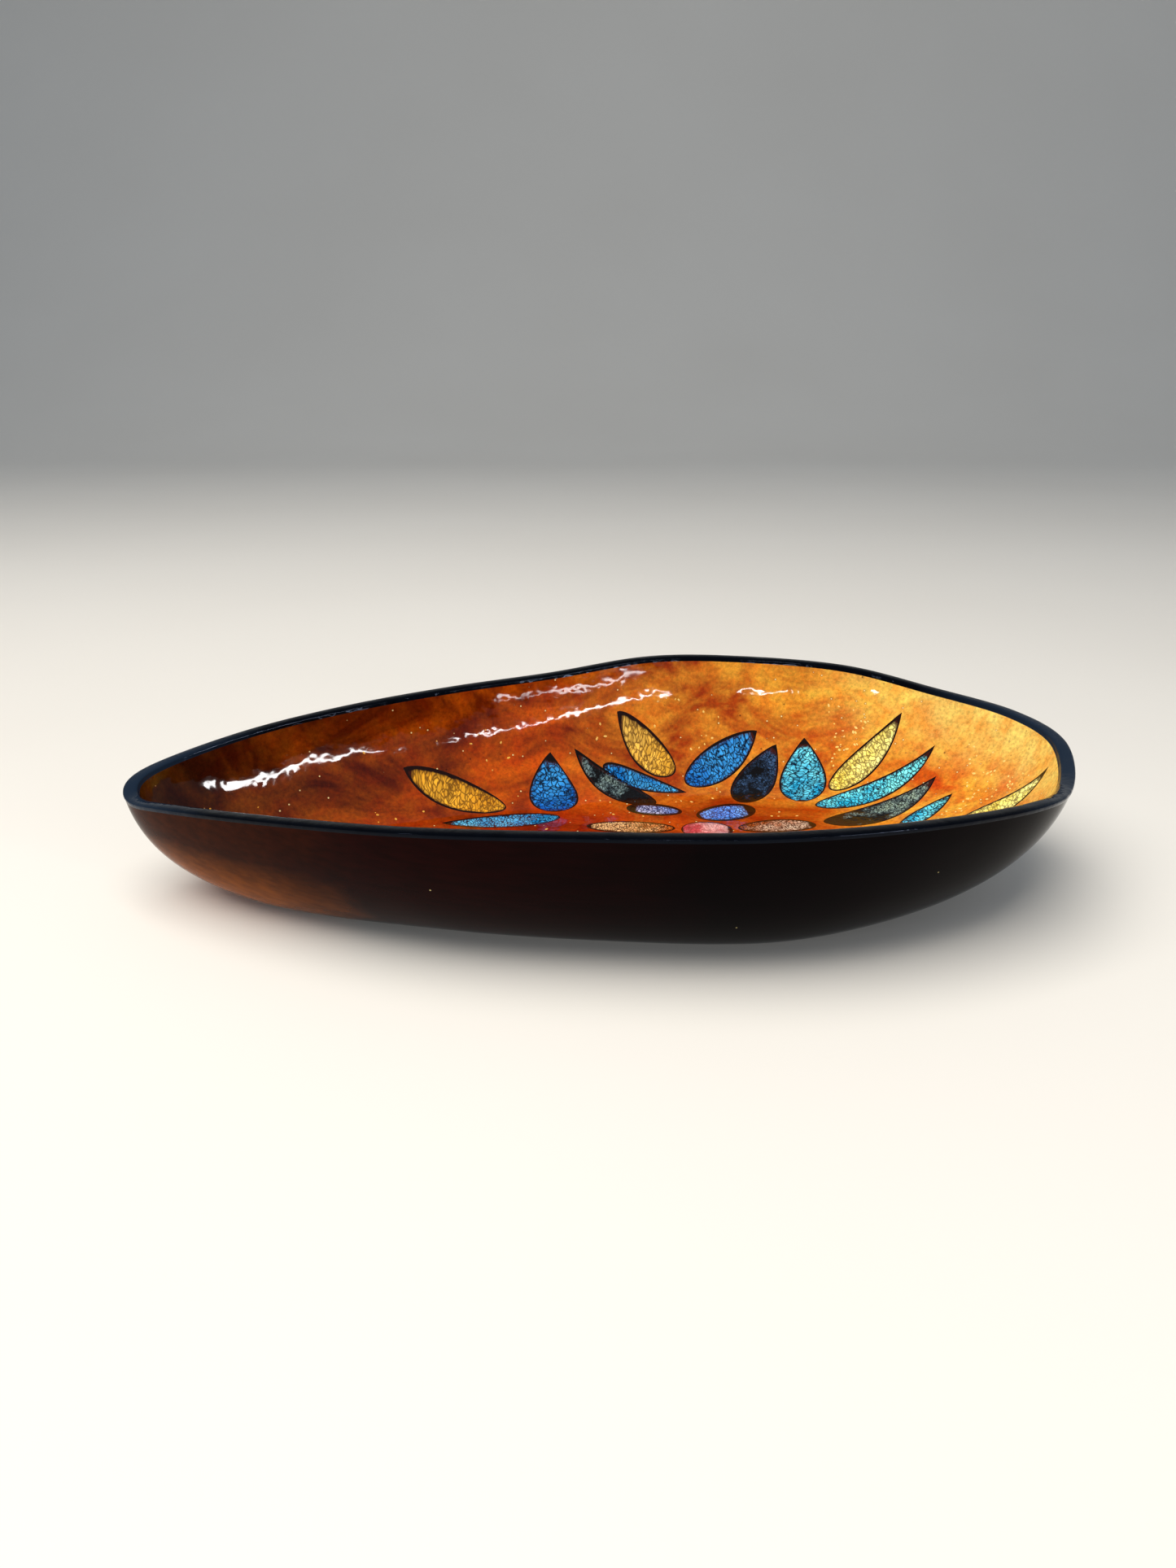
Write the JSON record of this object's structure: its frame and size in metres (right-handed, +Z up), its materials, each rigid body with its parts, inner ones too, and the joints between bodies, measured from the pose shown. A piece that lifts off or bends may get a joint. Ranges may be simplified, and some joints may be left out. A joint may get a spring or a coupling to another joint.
{
  "type": "art glass bowl",
  "caption": "Free-form teardrop bowl of layered art glass with a dark casing, an amber lining, a flower of inlaid glass leaves round a rosette, and a black lip.",
  "frame": {"origin": "middle of the bowl's footprint box, on the surface the ground base stands on", "axes": "+X from the pointed end to the blunt end, +Y to the high side of the rim, +Z up"},
  "size_m": [0.3032, 0.1624, 0.0561],
  "materials": {
    "casing_glass": "polished near-black maroon glass",
    "amber_glass": "polished amber glass with seed bubbles",
    "lip_glass": "fire-polished black glass",
    "yellow_glass": "crackled opaque yellow glass under a clear gloss",
    "blue_glass": "crackled opaque blue glass under a clear gloss",
    "navy_glass": "dark navy glass under a clear gloss",
    "pink_glass": "mottled pink glass under a clear gloss",
    "peach_glass": "mottled peach and rust glass under a clear gloss",
    "sky_glass": "crackled light-blue glass under a clear gloss"
  },
  "bodies": {
    "root": {"outer_casing": "casing_glass", "amber_lining": "amber_glass", "lip_wrap": "lip_glass", "rosette_heart": "pink_glass", "yellow_leaf_1": "yellow_glass", "yellow_leaf_2": "yellow_glass", "yellow_leaf_3": "yellow_glass", "yellow_leaf_4": "yellow_glass", "yellow_leaf_5": "yellow_glass", "yellow_leaf_6": "yellow_glass", "blue_leaf_1": "blue_glass", "blue_leaf_2": "blue_glass", "blue_leaf_3": "blue_glass", "blue_leaf_4": "blue_glass", "blue_leaf_5": "blue_glass", "blue_leaf_6": "blue_glass", "blue_leaf_7": "blue_glass", "blue_leaf_8": "blue_glass", "blue_leaf_9": "blue_glass", "blue_leaf_10": "blue_glass", "blue_leaf_11": "blue_glass", "blue_leaf_12": "blue_glass", "dark_leaf_1": "navy_glass", "dark_leaf_2": "navy_glass", "dark_leaf_3": "navy_glass", "dark_leaf_4": "navy_glass", "dark_leaf_5": "navy_glass", "dark_leaf_6": "navy_glass", "rosette_petal_1": "peach_glass", "rosette_petal_2": "peach_glass", "rosette_chip_1": "sky_glass", "rosette_chip_2": "sky_glass", "rosette_chip_3": "sky_glass", "rosette_chip_4": "sky_glass"}
  },
  "joints": []
}
